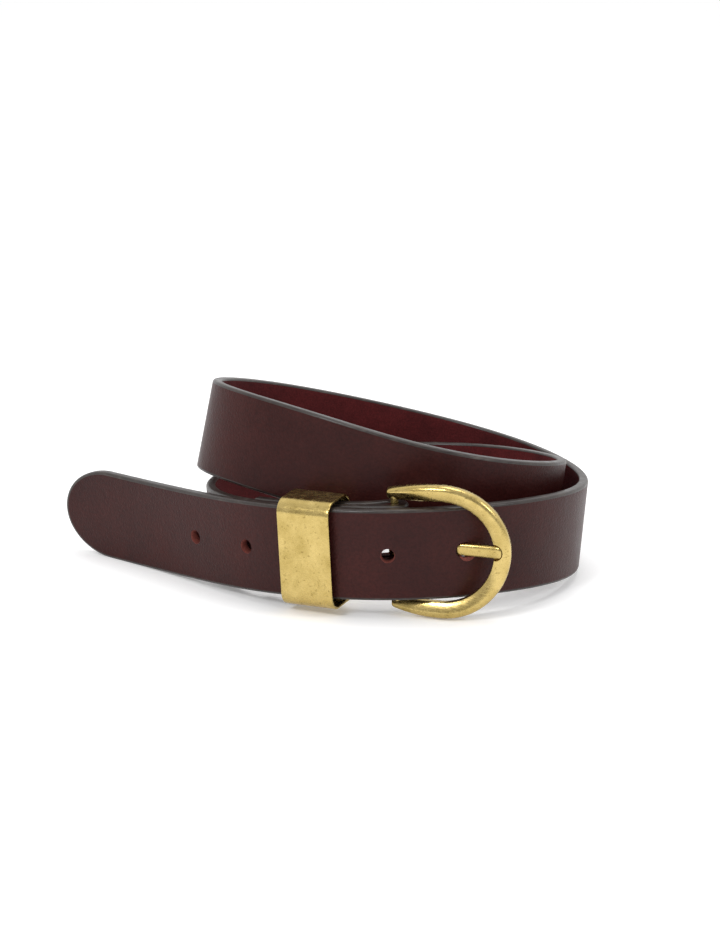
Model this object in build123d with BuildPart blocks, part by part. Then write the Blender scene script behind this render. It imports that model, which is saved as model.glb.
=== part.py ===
"""Leather belt, coiled twice round and buckled on its last hole.

Millimetres, +Z up. The belt stands on the edge of its strap on z = 0, and the
buckle faces -Y. The origin is under the middle of the belt's bounding box.
"""
from build123d import *

import os
from math import ceil, cos, radians, sin

# Strap
STRAP_WIDTH = 35.0
STRAP_THICKNESS = 3.6
TIP_TO_FIRST_HOLE = 75.3
HOLE_PITCH = 28.8
HOLE_COUNT = 5
HOLE_DIAMETER = 4.9
TIP_ROUND_LENGTH = 24.0
TIP_CUT_DEPTH = 8.0
SAMPLE_STEP = 9.0
MAIN_SPANS = 14

# Route of the strap's middle line, as guide points of a smooth curve. The free
# end and the buckle end are x and y from the coil's centre, height and outward
# lean in degrees. Between them the strap coils anticlockwise in eighths of a
# turn, and each eighth has its radius, its height and its lean.
COIL_CENTRE = Vector(27.51, 0.84, -0.5)
COIL_START = 225
COIL_STEP = 45
FREE_END = [(-178, 66, 20, 0), (-128, 33.3, 17.5, 1), (-82.5, -7.5, 18, 3)]
FIRST_TURN = [
    (63.5, 23.5, 4), (63.5, 26.3, 4), (67, 26, 2), (72.5, 18.5, 5),
    (69.5, 21, 10), (63, 32, 5), (70.3, 46.8, -5), (74.5, 60.5, -14),
]
SECOND_TURN = [
    (47.5, 56.5, -8), (41, 46, 0), (51, 36.5, 6), (65, 26, 8),
    (58.5, 21.5, 4), (52, 20, 3), (61, 18, 4), (72, 17.3, 5), (60.5, 22, 3),
]
BUCKLE_END = [(-1, -62, 26.9, 3), (50, -64.5, 25.8, 2)]

# Folded end round the bar
BAR_RADIUS = 1.5
BAR_FIT = 0.05
BAR_CHAMFER = 0.3
TAB_LENGTH = 58.0
TAB_GAP = 0.4
TAB_CLOSING_LENGTH = 10.0
SLOT_WIDTH = 6.4
SLOT_REACH = 8.5

# Screw posts, measured back from the bar along the strap
SCREW_STATIONS = (13.6, 52.0)
SCREW_HEAD_DIAMETER = 8.0
SCREW_HEAD_HEIGHT = 0.9
SCREW_HEAD_CLEARANCE = 0.2
POST_DIAMETER = 4.6
SCREW_DIAMETER = 2.6
DRIVER_SLOT_WIDTH = 1.0
SCREW_BORE_DEPTH = 5.0
SCREW_END_ROOM = 0.5

# Buckle frame: a horseshoe, bowed outward, whose legs hold the bar
FRAME_SWING = 1.5
FRAME_THICKNESS = 4.4
FRAME_ARC_CENTRE = 17.0
FRAME_OUTER_RADIUS = 25.5
FRAME_INNER_RADIUS = 19.3
LEG_END_HALF_HEIGHT = 22.8
LEG_INNER_HALF_HEIGHT = 18.9
LEG_END_OVERHANG = 2.6
LEG_BOW = 0.7
FRAME_BOW_PLACE = 24.0
FRAME_BOW = 5.2
FRAME_END_RISE = 3.6
LEG_END_DROP = 0.9
FRAME_EDGE_ROUND = 1.1
NOTCH_RADIUS = 3.2
NOTCH_DEPTH = 2.0

# Prong
PRONG_WIDTH = 4.8
PRONG_HEIGHT = 2.6
PRONG_REACH = 39.2
PRONG_EYE_WALL = 1.3
PRONG_SAG = 2.1
PRONG_LIFT = 0.25
PRONG_SIDE_ROOM = 0.3
PRONG_SWING_ROOM = 0.8

# Keeper
KEEPER_STATION = 132.0
KEEPER_LENGTH = 21.0
KEEPER_HEIGHT = 41.4
KEEPER_DEPTH = 19.2
KEEPER_SHEET = 1.0
KEEPER_CORNER = 5.4
KEEPER_SEAM = 0.4
KEEPER_RISE = -0.4
KEEPER_INSET = 4.6
KEEPER_TILT = 2.4

# How far cuts go past the face they open, close to other leather and elsewhere
CLOSE_OVERCUT = 0.2
OVERCUT = 1.0

UP = Vector(0, 0, 1)
# Ends of the screw posts, measured outward from the middle of the strap
SCREW_TOP = STRAP_THICKNESS / 2
SCREW_BOTTOM = -(1.5 * STRAP_THICKNESS + TAB_GAP)


def strap_stations():
    """Guide points of the whole route, as x, y, z and lean."""
    # A smooth curve passes inside guide points set round a circle, by this factor
    reach = 6 / (4 + 2 * cos(radians(COIL_STEP)))
    coil = []
    for i, (radius, height, lean) in enumerate(FIRST_TURN + SECOND_TURN):
        angle = radians(COIL_START + COIL_STEP * i)
        coil.append((radius * reach * cos(angle), radius * reach * sin(angle), height, lean))
    return [
        (COIL_CENTRE.X + x, COIL_CENTRE.Y + y, COIL_CENTRE.Z + height, lean)
        for x, y, height, lean in FREE_END + coil + BUCKLE_END
    ]


STATIONS = strap_stations()


def strap_point(u):
    """Middle of the strap, its direction and its lean at parameter u."""
    span = min(int(u), len(STATIONS) - 4)
    t = u - span
    place = (
        (1 - t) ** 3 / 6,
        (3 * t**3 - 6 * t**2 + 4) / 6,
        (-3 * t**3 + 3 * t**2 + 3 * t + 1) / 6,
        t**3 / 6,
    )
    slope = (
        -((1 - t) ** 2) / 2,
        (3 * t**2 - 4 * t) / 2,
        (-3 * t**2 + 2 * t + 1) / 2,
        t**2 / 2,
    )
    near = STATIONS[span : span + 4]
    middle = sum((Vector(*s[:3]) * w for s, w in zip(near, place)), Vector())
    along = sum((Vector(*s[:3]) * w for s, w in zip(near, slope)), Vector())
    lean = sum(s[3] * w for s, w in zip(near, place))
    return middle, along.normalized(), radians(lean)


def strap_section(u):
    """Middle, direction, width direction and outward normal at parameter u."""
    middle, along, lean = strap_point(u)
    upright = (UP - along * along.Z).normalized()
    level = along.cross(upright)
    across = upright * cos(lean) + level * sin(lean)
    return middle, along, across, along.cross(across)


def measure_strap(steps=2000):
    """Parameters and lengths along the middle line."""
    last = len(STATIONS) - 3
    parameters = [last * i / steps for i in range(steps + 1)]
    lengths = [0.0]
    before = strap_point(0)[0]
    for u in parameters[1:]:
        here = strap_point(u)[0]
        lengths.append(lengths[-1] + (here - before).length)
        before = here
    return parameters, lengths


PARAMETERS, LENGTHS = measure_strap()
STRAP_LENGTH = LENGTHS[-1]


def section_at(length):
    """Strap section at a length measured from the tip."""
    length = min(max(length, 0.0), STRAP_LENGTH)
    high = next(i for i, value in enumerate(LENGTHS) if value >= length)
    if high == 0:
        return strap_section(0)
    low = high - 1
    part = (length - LENGTHS[low]) / (LENGTHS[high] - LENGTHS[low])
    u = PARAMETERS[low] + part * (PARAMETERS[high] - PARAMETERS[low])
    return strap_section(u)


END_MIDDLE, END_ALONG, END_ACROSS, END_OUT = section_at(STRAP_LENGTH)
FOLD_RADIUS = BAR_RADIUS + BAR_FIT + STRAP_THICKNESS / 2
BAR_CENTRE = END_MIDDLE - END_OUT * FOLD_RADIUS


def tab_section(back):
    """Folded-back tab, a given length back from the bar."""
    middle, along, across, out = section_at(STRAP_LENGTH - back)
    closed = STRAP_THICKNESS + TAB_GAP
    t = min(back / TAB_CLOSING_LENGTH, 1.0)
    ease = t * t * (3 - 2 * t)
    behind = 2 * FOLD_RADIUS + (closed - 2 * FOLD_RADIUS) * ease
    return middle - out * behind, across, out * -1


def corner_point(section, up, outward):
    """Corner of a strap section, given as its middle, width and normal."""
    middle, across, out = section
    return middle + across * (up * STRAP_WIDTH / 2) + out * (outward * STRAP_THICKNESS / 2)


def main_section(length):
    """Section of the strap between its tip and the bar."""
    middle, _, across, out = section_at(length)
    return middle, across, out


def spline_line(section, start, end, up, outward):
    """Corner line of one span of the strap, through evenly spaced sections."""
    count = max(ceil(abs(end - start) / SAMPLE_STEP), 3)
    lengths = [start + (end - start) * i / count for i in range(count + 1)]
    points = [corner_point(section(length), up, outward) for length in lengths]
    step = (end - start) * 0.002
    ahead = [
        corner_point(section(length + step), up, outward)
        - corner_point(section(length - step), up, outward)
        for length in (start, end)
    ]
    return Edge.make_spline(points, tangents=[v.normalized() for v in ahead])


def fold_line(up, outward):
    """Corner line of the half turn round the bar."""
    turns = [END_OUT, END_ALONG, END_OUT * -1]
    points = [
        corner_point((BAR_CENTRE + out * FOLD_RADIUS, END_ACROSS, out), up, outward)
        for out in turns
    ]
    return Edge.make_three_point_arc(*points)


def strap_shell():
    """Closed solid of the strap before any hole is cut."""
    corners = [(1, 1), (1, -1), (-1, -1), (-1, 1)]
    cuts = [STRAP_LENGTH * i / MAIN_SPANS for i in range(MAIN_SPANS + 1)]
    spans = [
        [spline_line(main_section, start, end, *corner) for corner in corners]
        for start, end in zip(cuts, cuts[1:])
    ]
    spans.append([fold_line(*corner) for corner in corners])
    for start, end in ((0, TAB_CLOSING_LENGTH), (TAB_CLOSING_LENGTH, TAB_LENGTH)):
        spans.append([spline_line(tab_section, start, end, *corner) for corner in corners])
    faces = [
        Face.make_surface_from_curves(a, b)
        for lines in spans
        for a, b in zip(lines, lines[1:] + lines[:1])
    ]
    for lines, end in ((spans[0], 0), (spans[-1], 1)):
        faces.append(Face(Wire.make_polygon([line.position_at(end) for line in lines])))
    return Solid(Shell(faces))


def plane_on_strap(length):
    """Plane on the middle of the strap, x along it and z outward."""
    middle, along, _, out = section_at(length)
    return Plane(origin=middle, x_dir=along, z_dir=out)


# Buckle planes: x from the bar towards the round end, z outward
BAR_PLANE = Plane(origin=BAR_CENTRE, x_dir=END_ALONG, z_dir=END_OUT)
SWING = radians(FRAME_SWING)
BUCKLE_ALONG = END_ALONG * cos(SWING) - END_OUT * sin(SWING)
BUCKLE_OUT = END_OUT * cos(SWING) + END_ALONG * sin(SWING)
BUCKLE_PLANE = Plane(origin=BAR_CENTRE, x_dir=BUCKLE_ALONG, z_dir=BUCKLE_OUT)
# The same place seen along the bar: x towards the round end, y outward
SIDE_PLANE = Plane(origin=BAR_CENTRE, x_dir=BUCKLE_ALONG, z_dir=-END_ACROSS)
ROUND_END = FRAME_ARC_CENTRE + FRAME_INNER_RADIUS
FRAME_FRONT = FRAME_END_RISE + FRAME_THICKNESS / 2
PRONG_REST = FRAME_FRONT - NOTCH_DEPTH + PRONG_LIFT + PRONG_HEIGHT / 2


def bowed_band(middle, half):
    """Outline of a band bowed along the arc through three middle points."""
    with BuildLine() as outline:
        upper = ThreePointArc(*[(x, y + half) for x, y in middle])
        lower = ThreePointArc(*[(x, y - half) for x, y in middle])
        Line(upper @ 0, lower @ 0)
        Line(upper @ 1, lower @ 1)
    return outline.line


def prong_shank(side_room, room):
    """Shank of the prong, or with room added, the passage it needs."""
    reach = PRONG_REACH + side_room
    middle = [(0, 0), (reach / 2, PRONG_REST / 2 - PRONG_SAG), (reach, PRONG_REST)]
    with BuildPart() as shank:
        with BuildSketch(SIDE_PLANE):
            add(bowed_band(middle, PRONG_HEIGHT / 2 + room))
            make_face()
        extrude(amount=PRONG_WIDTH / 2 + side_room, both=True)
        with BuildSketch(BUCKLE_PLANE):
            tip_centre = PRONG_REACH - PRONG_WIDTH / 2
            with Locations((tip_centre / 2, 0)):
                Rectangle(tip_centre, PRONG_WIDTH + 2 * side_room)
            with Locations((tip_centre, 0)):
                Circle(PRONG_WIDTH / 2 + side_room)
        extrude(amount=2 * PRONG_REST, both=True, mode=Mode.INTERSECT)
    return shank.part


with BuildPart() as strap:
    add(strap_shell())
    # Rounded tip
    with BuildSketch(plane_on_strap(TIP_ROUND_LENGTH)):
        with Locations((-TIP_ROUND_LENGTH, 0)):
            Rectangle(2 * TIP_ROUND_LENGTH, STRAP_WIDTH + TIP_CUT_DEPTH)
        Ellipse(TIP_ROUND_LENGTH, STRAP_WIDTH / 2, mode=Mode.SUBTRACT)
    extrude(amount=TIP_CUT_DEPTH, both=True, mode=Mode.SUBTRACT)
    # Punched holes
    for i in range(HOLE_COUNT):
        with BuildSketch(plane_on_strap(TIP_TO_FIRST_HOLE + HOLE_PITCH * i)):
            Circle(HOLE_DIAMETER / 2)
        extrude(amount=STRAP_THICKNESS / 2 + CLOSE_OVERCUT, both=True, mode=Mode.SUBTRACT)
    # The last hole is drawn out where the prong passes through it
    add(prong_shank(PRONG_SIDE_ROOM, PRONG_SWING_ROOM), mode=Mode.SUBTRACT)
    # Slot in the fold for the prong's eye
    with BuildSketch(BAR_PLANE):
        SlotOverall(2 * SLOT_REACH, SLOT_WIDTH)
    fold_face = FOLD_RADIUS + STRAP_THICKNESS / 2 + CLOSE_OVERCUT
    extrude(amount=fold_face, both=True, mode=Mode.SUBTRACT)
    # Seats for the screw posts
    for back in SCREW_STATIONS:
        seat = plane_on_strap(STRAP_LENGTH - back)
        with BuildSketch(seat.offset(SCREW_TOP - SCREW_HEAD_HEIGHT)):
            Circle(SCREW_HEAD_DIAMETER / 2 + SCREW_HEAD_CLEARANCE)
        extrude(amount=SCREW_HEAD_HEIGHT + 2 * CLOSE_OVERCUT, mode=Mode.SUBTRACT)
        with BuildSketch(seat.offset(SCREW_TOP)):
            Circle(POST_DIAMETER / 2)
        extrude(amount=SCREW_BOTTOM - SCREW_TOP, mode=Mode.SUBTRACT)
        with BuildSketch(seat.offset(SCREW_BOTTOM)):
            Circle(SCREW_HEAD_DIAMETER / 2 + SCREW_HEAD_CLEARANCE)
        extrude(amount=-SCREW_HEAD_HEIGHT, mode=Mode.SUBTRACT)
    # The lowest edge is pressed flat where the belt stands on it
    with BuildSketch(Plane.XY):
        Rectangle(2 * STRAP_LENGTH, 2 * STRAP_LENGTH)
    extrude(amount=-STRAP_WIDTH, mode=Mode.SUBTRACT)
strap.part.label = "strap"

frame_middle = [
    (-LEG_END_OVERHANG, -LEG_END_DROP),
    (FRAME_BOW_PLACE, FRAME_BOW),
    (FRAME_ARC_CENTRE + FRAME_OUTER_RADIUS, FRAME_END_RISE),
]

with BuildPart() as buckle_frame:
    with BuildSketch(BUCKLE_PLANE):
        with BuildLine():
            leg_end = (-LEG_END_OVERHANG, LEG_END_HALF_HEIGHT)
            shoulder = (FRAME_ARC_CENTRE, FRAME_OUTER_RADIUS)
            leg_middle = (
                (shoulder[0] + leg_end[0]) / 2,
                (shoulder[1] + leg_end[1]) / 2 + LEG_BOW,
            )
            outer_leg = ThreePointArc(leg_end, leg_middle, shoulder)
            outer_end = ThreePointArc(
                shoulder,
                (FRAME_ARC_CENTRE + FRAME_OUTER_RADIUS, 0),
                (shoulder[0], -shoulder[1]),
            )
            mirror(outer_leg, about=Plane.XZ)
            inner_corner = (FRAME_ARC_CENTRE, FRAME_INNER_RADIUS)
            inner_leg = Line((leg_end[0], LEG_INNER_HALF_HEIGHT), inner_corner)
            ThreePointArc(
                inner_corner, (ROUND_END, 0), (inner_corner[0], -inner_corner[1])
            )
            mirror(inner_leg, about=Plane.XZ)
            Line(leg_end, inner_leg @ 0)
            Line((leg_end[0], -leg_end[1]), (leg_end[0], -LEG_INNER_HALF_HEIGHT))
        make_face()
    extrude(amount=FRAME_BOW + FRAME_THICKNESS, both=True)
    with BuildSketch(SIDE_PLANE):
        add(bowed_band(frame_middle, FRAME_THICKNESS / 2))
        make_face()
    extrude(amount=FRAME_OUTER_RADIUS + OVERCUT, both=True, mode=Mode.INTERSECT)
    front = max(buckle_frame.faces(), key=lambda face: (face.center() - BAR_CENTRE).dot(BUCKLE_OUT))
    fillet(front.edges(), FRAME_EDGE_ROUND)
    with BuildSketch(BUCKLE_PLANE.offset(FRAME_FRONT - NOTCH_DEPTH)):
        with Locations((ROUND_END, 0)):
            Circle(NOTCH_RADIUS)
    extrude(amount=NOTCH_DEPTH + FRAME_THICKNESS, mode=Mode.SUBTRACT)
    add(prong_shank(PRONG_SIDE_ROOM, PRONG_LIFT), mode=Mode.SUBTRACT)
    with BuildSketch(SIDE_PLANE):
        Circle(BAR_RADIUS)
    extrude(amount=FRAME_OUTER_RADIUS, both=True, mode=Mode.SUBTRACT)
buckle_frame.part.label = "buckle_frame"

with BuildPart() as bar:
    with BuildSketch(SIDE_PLANE):
        Circle(BAR_RADIUS)
    extrude(amount=LEG_END_HALF_HEIGHT, both=True)
    chamfer(bar.edges().filter_by(GeomType.CIRCLE), BAR_CHAMFER)
bar.part.label = "bar"

with BuildPart() as prong:
    add(prong_shank(0, 0))
    with BuildSketch(SIDE_PLANE):
        Circle(BAR_RADIUS + BAR_FIT + PRONG_EYE_WALL)
    extrude(amount=PRONG_WIDTH / 2, both=True)
    with BuildSketch(SIDE_PLANE):
        Circle(BAR_RADIUS + BAR_FIT)
    extrude(amount=PRONG_WIDTH, both=True, mode=Mode.SUBTRACT)
prong.part.label = "prong"

keeper_middle, keeper_along, keeper_across, keeper_out = section_at(KEEPER_STATION)
keeper_centre = keeper_middle - keeper_out * KEEPER_INSET + keeper_across * KEEPER_RISE
# The loose keeper hangs more upright than the strap it slides on
keeper_tilt = radians(KEEPER_TILT)
keeper_axis = keeper_along * cos(keeper_tilt) - keeper_across * sin(keeper_tilt)
KEEPER_PLANE = Plane(origin=keeper_centre, x_dir=keeper_out, z_dir=keeper_axis)

with BuildPart() as keeper:
    with BuildSketch(KEEPER_PLANE):
        RectangleRounded(KEEPER_DEPTH, KEEPER_HEIGHT, KEEPER_CORNER)
        RectangleRounded(
            KEEPER_DEPTH - 2 * KEEPER_SHEET,
            KEEPER_HEIGHT - 2 * KEEPER_SHEET,
            KEEPER_CORNER - KEEPER_SHEET,
            mode=Mode.SUBTRACT,
        )
        with Locations((-KEEPER_DEPTH / 2, 0)):
            Rectangle(2 * (KEEPER_SHEET + OVERCUT), KEEPER_SEAM, mode=Mode.SUBTRACT)
    extrude(amount=KEEPER_LENGTH / 2, both=True)
keeper.part.label = "keeper"

pieces = [strap, buckle_frame, bar, prong, keeper]
for number, back in enumerate(SCREW_STATIONS, start=1):
    seat = plane_on_strap(STRAP_LENGTH - back)
    with BuildPart() as post:
        with BuildSketch(seat.offset(SCREW_TOP)):
            Circle(SCREW_HEAD_DIAMETER / 2)
        extrude(amount=-SCREW_HEAD_HEIGHT)
        with BuildSketch(seat.offset(SCREW_TOP - SCREW_HEAD_HEIGHT)):
            Circle(POST_DIAMETER / 2)
        extrude(amount=SCREW_BOTTOM - SCREW_TOP + SCREW_HEAD_HEIGHT)
        with BuildSketch(seat.offset(SCREW_BOTTOM)):
            Circle(SCREW_DIAMETER / 2)
        extrude(amount=SCREW_BORE_DEPTH, mode=Mode.SUBTRACT)
    post.part.label = f"screw_post_{number}"
    with BuildPart() as screw:
        with BuildSketch(seat.offset(SCREW_BOTTOM)):
            Circle(SCREW_HEAD_DIAMETER / 2)
        extrude(amount=-SCREW_HEAD_HEIGHT)
        with BuildSketch(seat.offset(SCREW_BOTTOM)):
            Circle(SCREW_DIAMETER / 2)
        extrude(amount=SCREW_BORE_DEPTH - SCREW_END_ROOM)
        with BuildSketch(seat.offset(SCREW_BOTTOM - SCREW_HEAD_HEIGHT)):
            Rectangle(DRIVER_SLOT_WIDTH, SCREW_HEAD_DIAMETER + OVERCUT)
        extrude(amount=SCREW_HEAD_HEIGHT / 2, mode=Mode.SUBTRACT)
    screw.part.label = f"screw_{number}"
    pieces += [post, screw]

os.makedirs("parts", exist_ok=True)
for piece in pieces:
    export_step(piece.part, f"parts/{piece.part.label}.step")

print("strap length from tip to bar", round(STRAP_LENGTH, 1))
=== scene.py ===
"""Leather belt, coiled twice round and buckled on its last hole.

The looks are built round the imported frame. The route and the sizes repeat those
of the CAD model in millimetres, and every mesh is written in metres.
"""
from bisect import bisect_left
from math import cos, pi, radians, sin, sqrt

import bmesh
import bpy
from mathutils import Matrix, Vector


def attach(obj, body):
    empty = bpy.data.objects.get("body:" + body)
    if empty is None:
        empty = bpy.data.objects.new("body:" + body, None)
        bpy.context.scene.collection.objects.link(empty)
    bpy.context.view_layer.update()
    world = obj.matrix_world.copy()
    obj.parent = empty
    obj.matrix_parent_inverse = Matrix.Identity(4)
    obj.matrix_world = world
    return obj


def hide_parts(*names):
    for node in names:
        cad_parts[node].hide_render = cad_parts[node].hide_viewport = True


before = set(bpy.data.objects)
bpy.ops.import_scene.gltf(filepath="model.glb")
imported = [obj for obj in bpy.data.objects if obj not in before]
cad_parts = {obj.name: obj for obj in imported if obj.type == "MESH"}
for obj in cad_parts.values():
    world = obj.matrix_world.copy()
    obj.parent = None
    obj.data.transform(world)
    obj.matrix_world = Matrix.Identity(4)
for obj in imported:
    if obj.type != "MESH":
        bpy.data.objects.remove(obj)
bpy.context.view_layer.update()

MM = 0.001

# Strap
STRAP_WIDTH = 35.0
STRAP_THICKNESS = 3.6
STRAP_ROW_STEP = 2.2
TIP_ROUND_LENGTH = 24.0
TIP_TO_FIRST_HOLE = 75.3
HOLE_PITCH = 28.8
HOLE_COUNT = 5
HOLE_RADIUS = 2.45
HOLE_FLARE = 0.3
HOLE_FLARE_DEPTH = 0.7
EDGE_ROUND = 1.1
BACK_EDGE_ROUND = 0.8
TIP_STEPS = 44
FOLD_STEPS = 14
# Last rings of the folded-back tab: length past it, and share of its thickness
TAB_END_RINGS = [(0.25, 0.98), (0.5, 0.9), (0.65, 0.75)]
TAB_END_NARROWING = 0.1
# How far cuts go past the face they open
OVERCUT = 0.5

# Guide points of the strap's middle line: the two ends as x and y from the
# coil's centre, height and outward lean in degrees, and the coil in eighths of
# a turn, each with its radius, height and lean.
COIL_CENTRE = Vector((27.51, 0.84, -0.5))
COIL_START = 225
COIL_STEP = 45
FREE_END = [(-178, 66, 20, 0), (-128, 33.3, 17.5, 1), (-82.5, -7.5, 18, 3)]
FIRST_TURN = [
    (63.5, 23.5, 4), (63.5, 26.3, 4), (67, 26, 2), (72.5, 18.5, 5),
    (69.5, 21, 10), (63, 32, 5), (70.3, 46.8, -5), (74.5, 60.5, -14),
]
SECOND_TURN = [
    (47.5, 56.5, -8), (41, 46, 0), (51, 36.5, 6), (65, 26, 8),
    (58.5, 21.5, 4), (52, 20, 3), (61, 18, 4), (72, 17.3, 5), (60.5, 22, 3),
]
BUCKLE_END = [(-1, -62, 26.9, 3), (50, -64.5, 25.8, 2)]

# Folded end, slot and screws
BAR_RADIUS = 1.5
BAR_FIT = 0.05
TAB_LENGTH = 58.0
TAB_GAP = 0.4
TAB_CLOSING_LENGTH = 10.0
SLOT_WIDTH = 6.4
SLOT_REACH = 8.5
SCREW_STATIONS = (13.6, 52.0)
SCREW_SEAT_RADIUS = 4.2
SCREW_HEAD_HEIGHT = 0.9
POST_RADIUS = 2.3
SEAT_OVERCUT = 0.4
SEAT_STEP = 0.01

# Buckle frame
FRAME_SWING = 1.5
FRAME_THICKNESS = 4.4
FRAME_ARC_CENTRE = 17.0
FRAME_OUTER_RADIUS = 25.5
FRAME_INNER_RADIUS = 19.3
LEG_END_HALF_HEIGHT = 22.8
LEG_INNER_HALF_HEIGHT = 18.9
LEG_END_OVERHANG = 2.6
LEG_BOW = 0.7
FRAME_BOW_PLACE = 24.0
FRAME_BOW = 5.2
FRAME_END_RISE = 3.6
LEG_END_DROP = 0.9
NOTCH_RADIUS = 3.2
NOTCH_DEPTH = 2.0
NOTCH_ROUND = 0.35
FRAME_CREST_SHARE = 0.66
FRAME_INNER_FALL = 1.7
FRAME_OUTER_FALL = 2.0
FRAME_BEND_STEPS = 56

# Prong
PRONG_WIDTH = 4.8
PRONG_HEIGHT = 2.6
PRONG_REACH = 39.2
PRONG_EYE_WALL = 1.3
PRONG_SAG = 2.1
PRONG_LIFT = 0.25
PRONG_SIDE_ROOM = 0.45
PRONG_SWING_ROOM = 0.85
PRONG_SQUARENESS = 2.6
PRONG_EYE_ROUND = 0.5
PASSAGE_START = 14.0
PASSAGE_LENGTH = 16

# Keeper
KEEPER_STATION = 132.0
KEEPER_LENGTH = 21.0
KEEPER_HEIGHT = 41.4
KEEPER_DEPTH = 19.2
KEEPER_SHEET = 1.0
KEEPER_CORNER = 5.4
KEEPER_SEAM = 0.4
KEEPER_RISE = -0.4
KEEPER_INSET = 4.6
KEEPER_TILT = 2.4
KEEPER_RIM_ROUND = 0.42
KEEPER_BEND_STEPS = 8

# Camera: the point it looks at, how steeply and from how far
CAMERA_TARGET = Vector((14.51, 146.84, -0.26))
CAMERA_ELEVATION = 14.91
CAMERA_DISTANCE = 1214.5
CAMERA_LENS = 138.4
CAMERA_SENSOR = 36.0

UP = Vector((0, 0, 1))


# ---------------------------------------------------------------- strap route
def strap_stations():
    """Guide points of the whole route, as x, y, z and lean."""
    reach = 6 / (4 + 2 * cos(radians(COIL_STEP)))
    coil = []
    for i, (radius, height, lean) in enumerate(FIRST_TURN + SECOND_TURN):
        angle = radians(COIL_START + COIL_STEP * i)
        coil.append((radius * reach * cos(angle), radius * reach * sin(angle), height, lean))
    return [
        (COIL_CENTRE.x + x, COIL_CENTRE.y + y, COIL_CENTRE.z + height, lean)
        for x, y, height, lean in FREE_END + coil + BUCKLE_END
    ]


STATIONS = strap_stations()


def strap_section(u):
    """Middle, direction, width direction and outward normal at parameter u."""
    span = min(int(u), len(STATIONS) - 4)
    t = u - span
    place = (
        (1 - t) ** 3 / 6,
        (3 * t**3 - 6 * t**2 + 4) / 6,
        (-3 * t**3 + 3 * t**2 + 3 * t + 1) / 6,
        t**3 / 6,
    )
    slope = (
        -((1 - t) ** 2) / 2,
        (3 * t**2 - 4 * t) / 2,
        (-3 * t**2 + 2 * t + 1) / 2,
        t**2 / 2,
    )
    near = STATIONS[span : span + 4]
    middle = sum((Vector(s[:3]) * w for s, w in zip(near, place)), Vector())
    along = sum((Vector(s[:3]) * w for s, w in zip(near, slope)), Vector()).normalized()
    lean = radians(sum(s[3] * w for s, w in zip(near, place)))
    upright = (UP - along * along.z).normalized()
    level = along.cross(upright)
    across = upright * cos(lean) + level * sin(lean)
    return middle, along, across, along.cross(across)


def measure_strap(steps=2000):
    """Parameters and lengths along the middle line."""
    last = len(STATIONS) - 3
    parameters = [last * i / steps for i in range(steps + 1)]
    lengths = [0.0]
    before = strap_section(0)[0]
    for u in parameters[1:]:
        here = strap_section(u)[0]
        lengths.append(lengths[-1] + (here - before).length)
        before = here
    return parameters, lengths


PARAMETERS, LENGTHS = measure_strap()
STRAP_LENGTH = LENGTHS[-1]


def section_at(length):
    """Strap section at a length measured from the tip."""
    length = min(max(length, 0.0), STRAP_LENGTH)
    high = max(bisect_left(LENGTHS, length), 1)
    low = high - 1
    part = (length - LENGTHS[low]) / (LENGTHS[high] - LENGTHS[low])
    return strap_section(PARAMETERS[low] + part * (PARAMETERS[high] - PARAMETERS[low]))


END_MIDDLE, END_ALONG, END_ACROSS, END_OUT = section_at(STRAP_LENGTH)
FOLD_RADIUS = BAR_RADIUS + BAR_FIT + STRAP_THICKNESS / 2
BAR_CENTRE = END_MIDDLE - END_OUT * FOLD_RADIUS
SWING = radians(FRAME_SWING)
BUCKLE_ALONG = END_ALONG * cos(SWING) - END_OUT * sin(SWING)
BUCKLE_OUT = END_OUT * cos(SWING) + END_ALONG * sin(SWING)
ROUND_END = FRAME_ARC_CENTRE + FRAME_INNER_RADIUS
FRAME_FRONT = FRAME_END_RISE + FRAME_THICKNESS / 2
PRONG_REST = FRAME_FRONT - NOTCH_DEPTH + PRONG_LIFT + PRONG_HEIGHT / 2


def strap_point(length, side, height):
    """Point of the main strap, from its length, width place and height."""
    middle, _, across, out = section_at(length)
    return middle + across * side + out * height


def fold_point(turn, side, height):
    """Point of the half turn round the bar, turn going from 0 to 1."""
    out = END_OUT * cos(pi * turn) + END_ALONG * sin(pi * turn)
    return BAR_CENTRE + out * (FOLD_RADIUS + height) + END_ACROSS * side


def tab_point(back, side, height):
    """Point of the folded-back tab, a given length back from the bar."""
    middle, _, across, out = section_at(STRAP_LENGTH - back)
    t = min(back / TAB_CLOSING_LENGTH, 1.0)
    ease = t * t * (3 - 2 * t)
    closed = STRAP_THICKNESS + TAB_GAP
    behind = 2 * FOLD_RADIUS + (closed - 2 * FOLD_RADIUS) * ease
    return middle - out * (behind + height) + across * side


def buckle_point(x, y, z):
    """Point in the buckle's own axes: towards the round end, up and outward."""
    return BAR_CENTRE + BUCKLE_ALONG * x + END_ACROSS * y + BUCKLE_OUT * z


# -------------------------------------------------------------- mesh builders
def make_object(name, points, faces, face_slots, materials):
    """Smooth mesh object from points in millimetres."""
    mesh = bpy.data.meshes.new(name)
    mesh.from_pydata([point * MM for point in points], [], faces)
    for material in materials:
        mesh.materials.append(material)
    mesh.polygons.foreach_set("material_index", face_slots)
    mesh.polygons.foreach_set("use_smooth", [True] * len(faces))
    skin = bmesh.new()
    skin.from_mesh(mesh)
    bmesh.ops.recalc_face_normals(skin, faces=skin.faces)
    skin.to_mesh(mesh)
    skin.free()
    obj = bpy.data.objects.new(name, mesh)
    bpy.context.scene.collection.objects.link(obj)
    return obj


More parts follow.
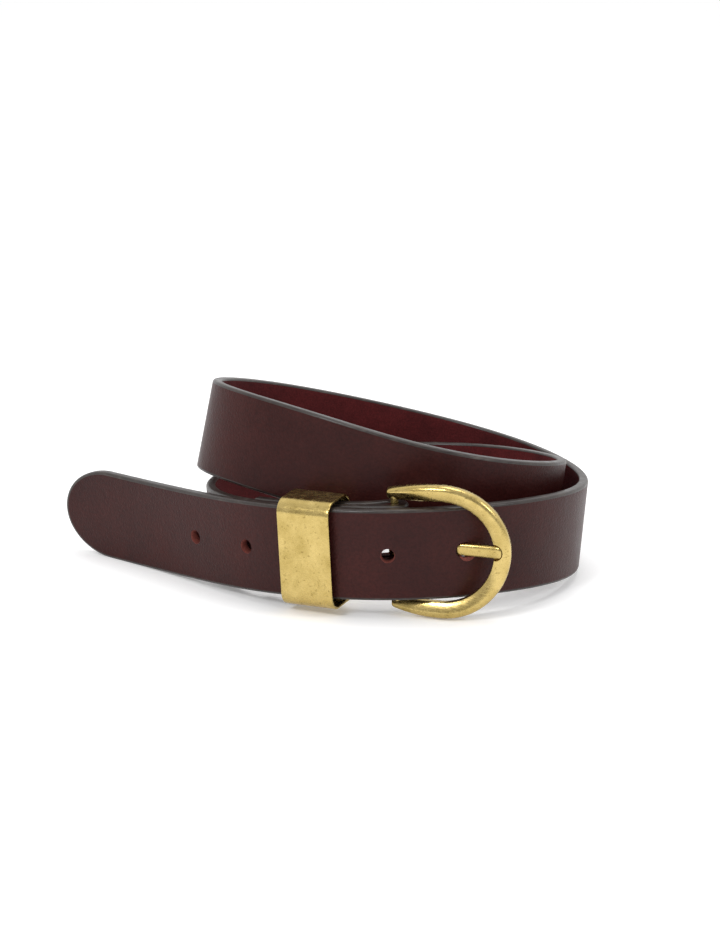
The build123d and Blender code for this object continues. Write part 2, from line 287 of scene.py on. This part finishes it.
def loft(name, rows, material):
    """Closed skin through equal rings of points, with a flat cap at each end."""
    count = len(rows[0])
    points = [point for row in rows for point in row]
    faces = []
    for r in range(len(rows) - 1):
        low = r * count
        high = low + count
        for c in range(count):
            after = (c + 1) % count
            faces.append((low + c, high + c, high + after, low + after))
    last = len(points) - count
    faces.append(tuple(range(count)))
    faces.append(tuple(last + c for c in reversed(range(count))))
    return make_object(name, points, faces, [0] * len(faces), [material])


def arc_points(centre, radius, start, end, steps):
    """Points on an arc in a plane, angles in degrees."""
    angles = [radians(start + (end - start) * i / steps) for i in range(steps + 1)]
    return [(centre[0] + radius * cos(a), centre[1] + radius * sin(a)) for a in angles]


def apply_modifiers(obj):
    """Replaces an object's mesh with what its modifiers make of it."""
    graph = bpy.context.evaluated_depsgraph_get()
    mesh = bpy.data.meshes.new_from_object(obj.evaluated_get(graph))
    obj.modifiers.clear()
    obj.data = mesh


def cut(obj, cutters, operation="DIFFERENCE"):
    """Cuts other objects from one, or joins them to it, and removes them."""
    for cutter in cutters:
        modifier = obj.modifiers.new("cut", "BOOLEAN")
        modifier.operation = operation
        modifier.solver = "EXACT"
        modifier.material_mode = "TRANSFER"
        modifier.object = cutter
    apply_modifiers(obj)
    for cutter in cutters:
        bpy.data.objects.remove(cutter)


def lathe(name, centre, axis_x, axis_y, axis_z, profile, material, steps=40):
    """Solid of revolution about axis_z, from (radius, height) pairs."""
    rows = [
        [
            centre + (axis_x * cos(a) + axis_y * sin(a)) * radius + axis_z * height
            for a in [2 * pi * i / steps for i in range(steps)]
        ]
        for radius, height in profile
    ]
    return loft(name, rows, material)


def smooth_by_angle(obj, angle=35):
    """Keeps edges sharper than the angle crisp."""
    with bpy.context.temp_override(object=obj, selected_editable_objects=[obj]):
        bpy.ops.object.shade_smooth_by_angle(angle=radians(angle))


# ------------------------------------------------------------------ materials
def new_material(name):
    """Material with an empty node tree but its shader and output."""
    material = bpy.data.materials.new(name)
    material.use_nodes = True
    return material, material.node_tree, material.node_tree.nodes["Principled BSDF"]


def object_coordinates(tree):
    """Coordinates in metres that don't slide when the piece moves."""
    return tree.nodes.new("ShaderNodeTexCoord").outputs["Object"]


def noise_texture(tree, scale, detail=4.0, roughness=0.5, stretch=None):
    """Noise value at a scale in turns per metre."""
    node = tree.nodes.new("ShaderNodeTexNoise")
    node.inputs["Scale"].default_value = scale
    node.inputs["Detail"].default_value = detail
    node.inputs["Roughness"].default_value = roughness
    vector = object_coordinates(tree)
    if stretch:
        mapping = tree.nodes.new("ShaderNodeMapping")
        mapping.inputs["Scale"].default_value = stretch
        tree.links.new(vector, mapping.inputs["Vector"])
        vector = mapping.outputs["Vector"]
    tree.links.new(vector, node.inputs["Vector"])
    return node.outputs["Fac"]


def cells_texture(tree, scale):
    """Distance to the nearest cell edge, as in leather grain."""
    node = tree.nodes.new("ShaderNodeTexVoronoi")
    node.feature = "DISTANCE_TO_EDGE"
    node.inputs["Scale"].default_value = scale
    tree.links.new(object_coordinates(tree), node.inputs["Vector"])
    return node.outputs["Distance"]


def ramp(tree, value, stops):
    """Colour ramp over (position, colour) stops."""
    node = tree.nodes.new("ShaderNodeValToRGB")
    while len(node.color_ramp.elements) < len(stops):
        node.color_ramp.elements.new(0.5)
    for element, (position, colour) in zip(node.color_ramp.elements, stops):
        element.position = position
        element.color = (*colour, 1.0)
    tree.links.new(value, node.inputs["Fac"])
    return node.outputs["Color"]


def span(tree, value, low, high, start=0.0, end=1.0):
    """Maps a value's range from start..end to low..high."""
    node = tree.nodes.new("ShaderNodeMapRange")
    node.inputs["From Min"].default_value = start
    node.inputs["From Max"].default_value = end
    node.inputs["To Min"].default_value = low
    node.inputs["To Max"].default_value = high
    tree.links.new(value, node.inputs["Value"])
    return node.outputs["Result"]


def mix(tree, factor, first, second, blend="MIX"):
    """Colour mix of two sockets or colours."""
    node = tree.nodes.new("ShaderNodeMix")
    node.data_type = "RGBA"
    node.blend_type = blend
    if isinstance(factor, float):
        node.inputs[0].default_value = factor
    else:
        tree.links.new(factor, node.inputs[0])
    for socket, colour in ((node.inputs[6], first), (node.inputs[7], second)):
        if isinstance(colour, tuple):
            socket.default_value = (*colour, 1.0)
        else:
            tree.links.new(colour, socket)
    return node.outputs[2]


def bump(tree, shader, heights):
    """Chain of bumps from (value, strength, depth in metres)."""
    normal = None
    for value, strength, depth in heights:
        node = tree.nodes.new("ShaderNodeBump")
        node.inputs["Strength"].default_value = strength
        node.inputs["Distance"].default_value = depth
        tree.links.new(value, node.inputs["Height"])
        if normal:
            tree.links.new(normal, node.inputs["Normal"])
        normal = node.outputs["Normal"]
    tree.links.new(normal, shader.inputs["Normal"])


def outer_leather():
    """Smooth oxblood grain side, a little waxed."""
    material, tree, shader = new_material("leather_outer")
    cloud = noise_texture(tree, 45, 5, 0.6)
    fine = noise_texture(tree, 900, 3, 0.6)
    colour = ramp(tree, cloud, [(0.3, (0.026, 0.0048, 0.0042)), (0.7, (0.042, 0.0085, 0.0072))])
    specks = ramp(tree, fine, [(0.35, (0.72, 0.70, 0.70)), (0.65, (1.15, 1.15, 1.15))])
    tree.links.new(mix(tree, 0.75, colour, specks, "MULTIPLY"), shader.inputs["Base Color"])
    tree.links.new(span(tree, cloud, 0.34, 0.46, 0.3, 0.7), shader.inputs["Roughness"])
    shader.inputs["Specular IOR Level"].default_value = 0.16
    bump(
        tree,
        shader,
        [
            (noise_texture(tree, 60, 3), 0.5, 0.0006),
            (cells_texture(tree, 1000), 0.5, 0.0002),
            (fine, 0.6, 0.0002),
        ],
    )
    return material


def inner_leather():
    """Burgundy flesh side, matte with a short nap."""
    material, tree, shader = new_material("leather_inner")
    cloud = noise_texture(tree, 70, 5, 0.65)
    nap = noise_texture(tree, 1500, 4, 0.7)
    colour = ramp(tree, cloud, [(0.3, (0.052, 0.0058, 0.0068)), (0.7, (0.088, 0.0105, 0.0115))])
    specks = ramp(tree, nap, [(0.35, (0.65, 0.6, 0.6)), (0.68, (1.25, 1.2, 1.2))])
    tree.links.new(mix(tree, 0.8, colour, specks, "MULTIPLY"), shader.inputs["Base Color"])
    shader.inputs["Roughness"].default_value = 0.72
    shader.inputs["Specular IOR Level"].default_value = 0.15
    bump(tree, shader, [(nap, 0.7, 0.00025), (cloud, 0.4, 0.0005)])
    return material


def edge_leather():
    """Burnished dark edge with lighter streaks along it, partly wax tone and partly a painted highlight
    for the edge's grey sheen.
    """
    material, tree, shader = new_material("leather_edge")
    wax_and_highlight_streaks = noise_texture(tree, 160, 4, 0.6, (1.0, 1.0, 5.0))
    # The lighter stops are partly wax tone and partly painted highlight along the edge.
    colour = ramp(
        tree,
        wax_and_highlight_streaks,
        [(0.30, (0.012, 0.007, 0.006)), (0.55, (0.026, 0.018, 0.015)), (0.80, (0.075, 0.060, 0.050))],
    )
    tree.links.new(colour, shader.inputs["Base Color"])
    tree.links.new(span(tree, wax_and_highlight_streaks, 0.30, 0.5, 0.3, 0.7), shader.inputs["Roughness"])
    shader.inputs["Specular IOR Level"].default_value = 0.4
    shader.inputs["Coat Weight"].default_value = 0.15
    shader.inputs["Coat Roughness"].default_value = 0.25
    bump(tree, shader, [(noise_texture(tree, 900, 3, 0.6), 0.5, 0.0002)])
    return material


def cut_leather():
    """Raw rusty red leather inside the punched holes."""
    material, tree, shader = new_material("leather_cut")
    fibres = noise_texture(tree, 1800, 4, 0.7)
    colour = ramp(tree, fibres, [(0.3, (0.075, 0.012, 0.009)), (0.7, (0.21, 0.045, 0.030))])
    tree.links.new(colour, shader.inputs["Base Color"])
    shader.inputs["Roughness"].default_value = 0.8
    bump(tree, shader, [(fibres, 0.8, 0.0003)])
    return material


def brass():
    """Antique brass: warm metal, mottled and finely scuffed."""
    material, tree, shader = new_material("brass")
    cloud = noise_texture(tree, 130, 6, 0.65)
    pits = noise_texture(tree, 950, 3, 0.55)
    scuffs = noise_texture(tree, 420, 3, 0.6, (1.0, 1.0, 6.0))
    colour = ramp(tree, cloud, [(0.3, (0.43, 0.315, 0.100)), (0.7, (0.62, 0.47, 0.180))])
    spots = ramp(tree, pits, [(0.29, (0.55, 0.52, 0.45)), (0.40, (1.0, 1.0, 1.0))])
    tree.links.new(mix(tree, 0.8, colour, spots, "MULTIPLY"), shader.inputs["Base Color"])
    shader.inputs["Metallic"].default_value = 1.0
    tree.links.new(span(tree, scuffs, 0.17, 0.34, 0.3, 0.7), shader.inputs["Roughness"])
    bump(tree, shader, [(pits, 0.25, 0.0001), (scuffs, 0.2, 0.00006)])
    return material


OUTER = outer_leather()
INNER = inner_leather()
EDGE = edge_leather()
CUT = cut_leather()
BRASS = brass()


# ---------------------------------------------------------------------- strap
def strap_half_profile():
    """Half section of the strap from the middle of its face to that of its back."""
    half = STRAP_WIDTH / 2
    top = STRAP_THICKNESS / 2
    flat = [(side, top) for side in (0.0, 2.4, 4.8, 7.2, 9.6, 12.0, 14.0, 15.6)]
    face_edge = arc_points((half - EDGE_ROUND, top - EDGE_ROUND), EDGE_ROUND, 90, 0, 5)
    back_edge = arc_points((half - BACK_EDGE_ROUND, BACK_EDGE_ROUND - top), BACK_EDGE_ROUND, 0, -90, 4)
    back = [(side, -top) for side in (15.0, 12.6, 10.0, 7.5, 5.0, 2.5, 0.0)]
    first_edge = len(flat)
    last_edge = first_edge + len(face_edge) + len(back_edge) - 1
    return flat + face_edge + back_edge + back, first_edge, last_edge


def strap_profile_slot(c, first_edge, last_edge, count):
    """Material slot between two neighbours of the full section."""
    place = min(c, 2 * (count - 1) - 1 - c)
    if place < first_edge:
        return 0
    return 1 if place < last_edge else 2


def make_strap():
    """Whole strap: rounded tip, coil, fold round the bar and tab."""
    half_profile, first_edge, last_edge = strap_half_profile()
    count = len(half_profile)
    full = half_profile + [(-side, height) for side, height in reversed(half_profile[1:-1])]
    pole = TIP_ROUND_LENGTH
    rows = []
    main_rows = int((STRAP_LENGTH - pole) / STRAP_ROW_STEP)
    for i in range(main_rows + 1):
        length = pole + (STRAP_LENGTH - pole) * i / main_rows
        rows.append([strap_point(length, side, height) for side, height in full])
    for i in range(1, FOLD_STEPS):
        rows.append([fold_point(i / FOLD_STEPS, side, height) for side, height in full])
    tab_rows = int(TAB_LENGTH / STRAP_ROW_STEP)
    for i in range(tab_rows + 1):
        rows.append([tab_point(TAB_LENGTH * i / tab_rows, side, height) for side, height in full])
    for past, share in TAB_END_RINGS:
        narrow = 1 - (1 - share) * TAB_END_NARROWING
        rows.append(
            [tab_point(TAB_LENGTH + past, side * narrow, height * share) for side, height in full]
        )

    points = [point for row in rows for point in row]
    wide = len(full)
    faces = []
    slots = []
    for r in range(len(rows) - 1):
        for c in range(wide):
            after = (c + 1) % wide
            low = r * wide
            high = low + wide
            faces.append((low + c, low + after, high + after, high + c))
            tab_end = r >= len(rows) - 1 - len(TAB_END_RINGS)
            slots.append(1 if tab_end else strap_profile_slot(c, first_edge, last_edge, count))
    last = (len(rows) - 1) * wide
    for c in range(count - 1):
        left = last + c
        right = last + (wide - c) % wide
        next_right = last + wide - c - 1
        if c == 0:
            faces.append((left, next_right, left + 1))
        elif c == count - 2:
            faces.append((left, right, left + 1))
        else:
            faces.append((left, right, next_right, left + 1))
        slots.append(1)

    # Rounded tip: the half section turned about the pole and drawn out
    reach = pole / (STRAP_WIDTH / 2)
    far_side = [0] + [wide - c for c in range(1, count - 1)] + [count - 1]
    ring = {0: list(range(count)), TIP_STEPS: far_side}
    for k in range(1, TIP_STEPS):
        angle = pi * k / TIP_STEPS
        ring[k] = [0]
        for side, height in half_profile[1:-1]:
            points.append(strap_point(pole - side * reach * sin(angle), side * cos(angle), height))
            ring[k].append(len(points) - 1)
        ring[k].append(count - 1)
    for k in range(TIP_STEPS):
        for c in range(count - 1):
            quad = (ring[k][c], ring[k + 1][c], ring[k + 1][c + 1], ring[k][c + 1])
            face = tuple(dict.fromkeys(quad))
            faces.append(face)
            slots.append(strap_profile_slot(c, first_edge, last_edge, count))
    return make_object("strap_leather", points, faces, slots, [OUTER, EDGE, INNER, CUT])


def hole_cutters():
    """Punches for the strap's holes, flared where the leather gives way."""
    top = STRAP_THICKNESS / 2
    wide = HOLE_RADIUS + HOLE_FLARE
    profile = [
        (wide + OVERCUT, -top - OVERCUT),
        (wide, -top),
        (HOLE_RADIUS, HOLE_FLARE_DEPTH - top),
    ]
    profile += [(radius, -height) for radius, height in reversed(profile)]
    cutters = []
    for i in range(HOLE_COUNT):
        middle, along, across, out = section_at(TIP_TO_FIRST_HOLE + HOLE_PITCH * i)
        cutters.append(lathe("punch", middle, along, across, out, profile, CUT))
    return cutters


def arc_height(points, x):
    """Height at x of the circle through three points of a plane."""
    (x1, y1), (x2, y2), (x3, y3) = points
    d = 2 * (x1 * (y2 - y3) + x2 * (y3 - y1) + x3 * (y1 - y2))
    s1, s2, s3 = x1 * x1 + y1 * y1, x2 * x2 + y2 * y2, x3 * x3 + y3 * y3
    cx = (s1 * (y2 - y3) + s2 * (y3 - y1) + s3 * (y1 - y2)) / d
    cy = (s1 * (x3 - x2) + s2 * (x1 - x3) + s3 * (x2 - x1)) / d
    rise = sqrt((x1 - cx) ** 2 + (y1 - cy) ** 2 - (x - cx) ** 2)
    return cy + rise if y2 > cy else cy - rise


PRONG_LINE = [(0, 0), (PRONG_REACH / 2, PRONG_REST / 2 - PRONG_SAG), (PRONG_REACH, PRONG_REST)]
FRAME_LINE = [
    (-LEG_END_OVERHANG, -LEG_END_DROP),
    (FRAME_BOW_PLACE, FRAME_BOW),
    (FRAME_ARC_CENTRE + FRAME_OUTER_RADIUS, FRAME_END_RISE),
]


def superellipse(half_wide, half_high, power, steps):
    """Rounded rectangle as (side, height) points."""
    ring = []
    for i in range(steps):
        angle = 2 * pi * i / steps
        c, s = cos(angle), sin(angle)
        side = half_wide * abs(c) ** (2 / power) * (1 if c > 0 else -1)
        height = half_high * abs(s) ** (2 / power) * (1 if s > 0 else -1)
        ring.append((side, height))
    return ring


def prong_rows(places, side_room=0.0, room=0.0):
    """Rings of the prong's shank, or of its passage, at (x, share of full size) places."""
    rows = []
    for x, share in places:
        middle = arc_height(PRONG_LINE, x)
        half_wide = PRONG_WIDTH / 2 + side_room
        half_high = PRONG_HEIGHT / 2 + room
        section = superellipse(half_wide, half_high, PRONG_SQUARENESS, 24)
        rows.append([buckle_point(x, side * share, middle + height * share) for side, height in section])
    return rows


def stadium(reach, width, steps=12):
    """Long hole with round ends, as (x, y) points."""
    radius = width / 2
    right = arc_points((reach - radius, 0), radius, -90, 90, steps)
    left = arc_points((radius - reach, 0), radius, 90, 270, steps)
    return right + left


def strap_cutters():
    """Everything cut from the strap besides its punched holes."""
    places = [(PASSAGE_START + i, 1.0) for i in range(PASSAGE_LENGTH)]
    passage = prong_rows(places, PRONG_SIDE_ROOM, PRONG_SWING_ROOM)
    cutters = [loft("passage", passage, CUT)]
    depth = FOLD_RADIUS + STRAP_THICKNESS
    slot = [
        [
            BAR_CENTRE + END_ALONG * x + END_ACROSS * y + END_OUT * z
            for x, y in stadium(SLOT_REACH, SLOT_WIDTH)
        ]
        for z in (-depth, depth)
    ]
    cutters.append(loft("slot", slot, CUT))
    top = STRAP_THICKNESS / 2
    bottom = -(1.5 * STRAP_THICKNESS + TAB_GAP)
    for back in SCREW_STATIONS:
        middle, along, across, out = section_at(STRAP_LENGTH - back)
        profile = [
            (SCREW_SEAT_RADIUS, top + SEAT_OVERCUT),
            (SCREW_SEAT_RADIUS, top - SCREW_HEAD_HEIGHT),
            (POST_RADIUS, top - SCREW_HEAD_HEIGHT - SEAT_STEP),
            (POST_RADIUS, bottom + SEAT_STEP),
            (SCREW_SEAT_RADIUS, bottom),
            (SCREW_SEAT_RADIUS, bottom - SCREW_HEAD_HEIGHT),
        ]
        cutters.append(lathe("seat", middle, along, across, out, profile, CUT, 32))
    return cutters


strap = make_strap()
cut(strap, hole_cutters() + strap_cutters())
for vertex in strap.data.vertices:
    vertex.co.z = max(vertex.co.z, 0.0)
smooth_by_angle(strap, 40)
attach(strap, "strap")
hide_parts("strap")


# --------------------------------------------------------------------- buckle
def leg_outer(x):
    """Half height of the outside of a leg."""
    t = (x + LEG_END_OVERHANG) / (FRAME_ARC_CENTRE + LEG_END_OVERHANG)
    straight = LEG_END_HALF_HEIGHT + (FRAME_OUTER_RADIUS - LEG_END_HALF_HEIGHT) * t
    return straight + 4 * LEG_BOW * t * (1 - t)


def leg_inner(x):
    """Half height of the inside of a leg."""
    t = (x + LEG_END_OVERHANG) / (FRAME_ARC_CENTRE + LEG_END_OVERHANG)
    return LEG_INNER_HALF_HEIGHT + (FRAME_INNER_RADIUS - LEG_INNER_HALF_HEIGHT) * t


def frame_path():
    """Inner and outer points along the horseshoe, with the end's shrinking."""
    legs = [(-LEG_END_OVERHANG, 0.80), (0.25 - LEG_END_OVERHANG, 0.92), (0.6 - LEG_END_OVERHANG, 0.98)]
    legs += [(x, 1.0) for x in (-1.5, -0.5, 1.0, 2.5, 4.0, 5.5, 7.0, 8.5, 10.0, 11.5, 13.0, 14.5, 16.0)]
    upper = [((x, leg_inner(x)), (x, leg_outer(x)), share) for x, share in legs]
    lower = [((x1, -y1), (x2, -y2), share) for (x1, y1), (x2, y2), share in reversed(upper)]
    bend = []
    for i in range(FRAME_BEND_STEPS + 1):
        angle = radians(90 - 180 * i / FRAME_BEND_STEPS)
        edges = [
            (FRAME_ARC_CENTRE + radius * cos(angle), radius * sin(angle))
            for radius in (FRAME_INNER_RADIUS, FRAME_OUTER_RADIUS)
        ]
        bend.append((*edges, 1.0))
    return upper + bend + lower


def frame_section(width):
    """Domed section, as (place from the inner edge, height) points."""
    half = FRAME_THICKNESS / 2
    crest = width * FRAME_CREST_SHARE
    inner_flank = [
        (crest * t, half - FRAME_INNER_FALL * (1 - t) ** 1.5) for t in (0.16, 0.35, 0.55, 0.75, 0.9)
    ]
    outer_flank = [
        (crest + (width - crest) * sin(radians(a)), half - FRAME_OUTER_FALL * (1 - cos(radians(a))))
        for a in (0, 18, 36, 54, 72, 90)
    ]
    inner_edge = [
        (0.32, -half), (0.08, -half + 0.28), (0.0, -half + 0.7), (0.0, half - 2.2), (0.12, half - 1.75),
    ]
    outer_edge = [(width, -half + 0.9), (width - 0.15, -half + 0.4), (width - 0.55, -half)]
    return inner_edge + inner_flank + outer_flank + outer_edge


def make_frame():
    """Horseshoe buckle frame with a crest line and a notch for the prong."""
    rows = []
    for inner, outer, share in frame_path():
        width = sqrt((outer[0] - inner[0]) ** 2 + (outer[1] - inner[1]) ** 2)
        row = []
        for place, height in frame_section(width):
            place = width / 2 + (place - width / 2) * share
            x = inner[0] + (outer[0] - inner[0]) * place / width
            y = inner[1] + (outer[1] - inner[1]) * place / width
            row.append(buckle_point(x, y, arc_height(FRAME_LINE, x) + height * share))
        rows.append(row)
    obj = loft("buckle_brass", rows, BRASS)
    notch_floor = FRAME_FRONT - NOTCH_DEPTH
    centre = buckle_point(ROUND_END, 0, 0)
    profile = [
        (NOTCH_RADIUS - NOTCH_ROUND, notch_floor),
        (NOTCH_RADIUS, notch_floor + NOTCH_ROUND),
        (NOTCH_RADIUS, FRAME_FRONT + OVERCUT),
        (NOTCH_RADIUS + 3 * OVERCUT, FRAME_FRONT + FRAME_THICKNESS / 2),
    ]
    notch = lathe("notch", centre, BUCKLE_ALONG, END_ACROSS, BUCKLE_OUT, profile, BRASS, 48)
    cut(obj, [notch])
    return obj


def make_prong():
    """Prong with a rounded shank and an eye that turns on the bar."""
    end = PRONG_REACH
    places = [(0.5 + 1.2 * i, 1.0) for i in range(31)]
    places += [(end - 1.3, 1.0), (end - 0.8, 0.94), (end - 0.4, 0.82), (end - 0.12, 0.6), (end, 0.35)]
    obj = loft("prong_brass", prong_rows(places), BRASS)
    inner = BAR_RADIUS + BAR_FIT
    outer = inner + PRONG_EYE_WALL
    half = PRONG_WIDTH / 2
    sides = (BUCKLE_ALONG, BUCKLE_OUT, END_ACROSS)
    barrel = [
        (outer - PRONG_EYE_ROUND, -half),
        (outer, PRONG_EYE_ROUND - half),
        (outer, half - PRONG_EYE_ROUND),
        (outer - PRONG_EYE_ROUND, half),
    ]
    cut(obj, [lathe("eye", BAR_CENTRE, *sides, barrel, BRASS)], "UNION")
    bore = [(inner, -PRONG_WIDTH), (inner, PRONG_WIDTH)]
    cut(obj, [lathe("bore", BAR_CENTRE, *sides, bore, BRASS)])
    return obj


def make_keeper():
    """Bent brass loop with rounded rims, open at a seam behind."""
    middle, along, across, out = section_at(KEEPER_STATION)
    centre = middle - out * KEEPER_INSET + across * KEEPER_RISE
    tilt = radians(KEEPER_TILT)
    along, across = along * cos(tilt) - across * sin(tilt), across * cos(tilt) + along * sin(tilt)
    half_d = KEEPER_DEPTH / 2 - KEEPER_SHEET / 2
    half_h = KEEPER_HEIGHT / 2 - KEEPER_SHEET / 2
    radius = KEEPER_CORNER - KEEPER_SHEET / 2
    path = []
    corners = [(-1, 1, 180, 90), (1, 1, 90, 0), (1, -1, 0, -90), (-1, -1, -90, -180)]
    for side, up, start, end in corners:
        corner = (side * (half_d - radius), up * (half_h - radius))
        for x, y in arc_points(corner, radius, start, end, KEEPER_BEND_STEPS):
            path.append((x, y, (x - corner[0]) / radius, (y - corner[1]) / radius))
    seam = KEEPER_SEAM / 2

    def run(first, last, steps):
        """Even points between two path points that face the same way."""
        return [
            tuple(a + (b - a) * i / steps for a, b in zip(first, last)) for i in range(1, steps)
        ]

    start = (-half_d, seam, -1.0, 0.0)
    full = [start] + run(start, path[0], 6)
    each = KEEPER_BEND_STEPS + 1
    for corner in range(4):
        full += path[each * corner : each * (corner + 1)]
        if corner < 3:
            steps = 14 if corner == 1 else 5
            full += run(path[each * (corner + 1) - 1], path[each * (corner + 1)], steps)
    end = (-half_d, -seam, -1.0, 0.0)
    full += run(path[-1], end, 6) + [end]

    half_t = KEEPER_SHEET / 2
    half_l = KEEPER_LENGTH / 2
    rim = KEEPER_RIM_ROUND
    section = [(place * half_l, half_t) for place in (-0.8, -0.4, 0.0, 0.4, 0.8)]
    section += arc_points((half_l - rim, half_t - rim), rim, 90, 0, 4)
    section += arc_points((half_l - rim, rim - half_t), rim, 0, -90, 4)
    section += [(place * half_l, -half_t) for place in (0.8, 0.4, 0.0, -0.4, -0.8)]
    section += arc_points((rim - half_l, rim - half_t), rim, -90, -180, 4)
    section += arc_points((rim - half_l, half_t - rim), rim, 180, 90, 4)
    rows = []
    for x, y, nx, ny in full:
        rows.append(
            [
                centre + out * (x + nx * height) + across * (y + ny * height) + along * place
                for place, height in section
            ]
        )
    return loft("keeper_brass", rows, BRASS)


buckle = make_frame()
prong = make_prong()
keeper = make_keeper()
for piece, body, node in (
    (buckle, "buckle", "buckle_frame"),
    (prong, "prong", "prong"),
    (keeper, "keeper", "keeper"),
):
    smooth_by_angle(piece)
    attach(piece, body)
    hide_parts(node)

for name in ("bar", "screw_post_1", "screw_1", "screw_post_2", "screw_2"):
    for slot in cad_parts[name].material_slots:
        slot.material = BRASS


# ------------------------------------------------------------- studio, camera
def make_floor():
    """Large white sweep under the belt."""
    half = 3.0
    mesh = bpy.data.meshes.new("floor")
    corners = [(-half, -half, 0), (half, -half, 0), (half, half, 0), (-half, half, 0)]
    mesh.from_pydata(corners, [], [(0, 1, 2, 3)])
    floor = bpy.data.objects.new("floor", mesh)
    bpy.context.scene.collection.objects.link(floor)
    material, _, shader = new_material("paper")
    shader.inputs["Base Color"].default_value = (0.94, 0.94, 0.94, 1.0)
    shader.inputs["Emission Color"].default_value = (1.0, 1.0, 1.0, 1.0)
    shader.inputs["Emission Strength"].default_value = 0.15
    shader.inputs["Roughness"].default_value = 0.9
    shader.inputs["Specular IOR Level"].default_value = 0.1
    mesh.materials.append(material)


def area_light(name, place, target, size, power):
    """Square soft light that faces a point."""
    light = bpy.data.lights.new(name, "AREA")
    light.size = size
    light.energy = power
    obj = bpy.data.objects.new(name, light)
    obj.location = place
    obj.rotation_euler = (Vector(target) - Vector(place)).to_track_quat("-Z", "Y").to_euler()
    bpy.context.scene.collection.objects.link(obj)


def make_world():
    """White studio, darker towards the front so that metal has something to show."""
    world = bpy.data.worlds.new("studio")
    world.use_nodes = True
    bpy.context.scene.world = world
    tree = world.node_tree
    background = tree.nodes["Background"]
    direction = tree.nodes.new("ShaderNodeTexCoord").outputs["Generated"]
    split = tree.nodes.new("ShaderNodeSeparateXYZ")
    tree.links.new(direction, split.inputs["Vector"])
    shade = ramp(
        tree,
        span(tree, split.outputs["Y"], 0.0, 1.0, -1.0, 1.0),
        [(0.0, (0.40, 0.40, 0.41)), (0.45, (0.75, 0.75, 0.75)), (0.6, (1.0, 1.0, 1.0))],
    )
    tree.links.new(shade, background.inputs["Color"])
    background.inputs["Strength"].default_value = 1.1


def make_camera():
    """Camera at the photograph's viewing angle."""
    target = CAMERA_TARGET * MM
    elevation = radians(CAMERA_ELEVATION)
    distance = CAMERA_DISTANCE * MM
    camera = bpy.data.cameras.new("camera")
    camera.sensor_fit = "HORIZONTAL"
    camera.sensor_width = CAMERA_SENSOR
    camera.lens = CAMERA_LENS
    obj = bpy.data.objects.new("camera", camera)
    obj.location = target + Vector((0, -cos(elevation), sin(elevation))) * distance
    obj.rotation_euler = (target - obj.location).to_track_quat("-Z", "Y").to_euler()
    bpy.context.scene.collection.objects.link(obj)
    bpy.context.scene.camera = obj


make_floor()
make_world()
make_camera()
area_light("key", (-0.50, -0.80, 0.75), (0.0, 0.0, 0.03), 0.25, 5.0)
area_light("top", (0.15, 0.1, 1.1), (0.0, 0.0, 0.0), 0.5, 3.0)
area_light("rim", (0.7, -0.35, 0.5), (0.02, 0.0, 0.03), 0.2, 1.2)
bpy.context.scene.view_settings.view_transform = "Standard"
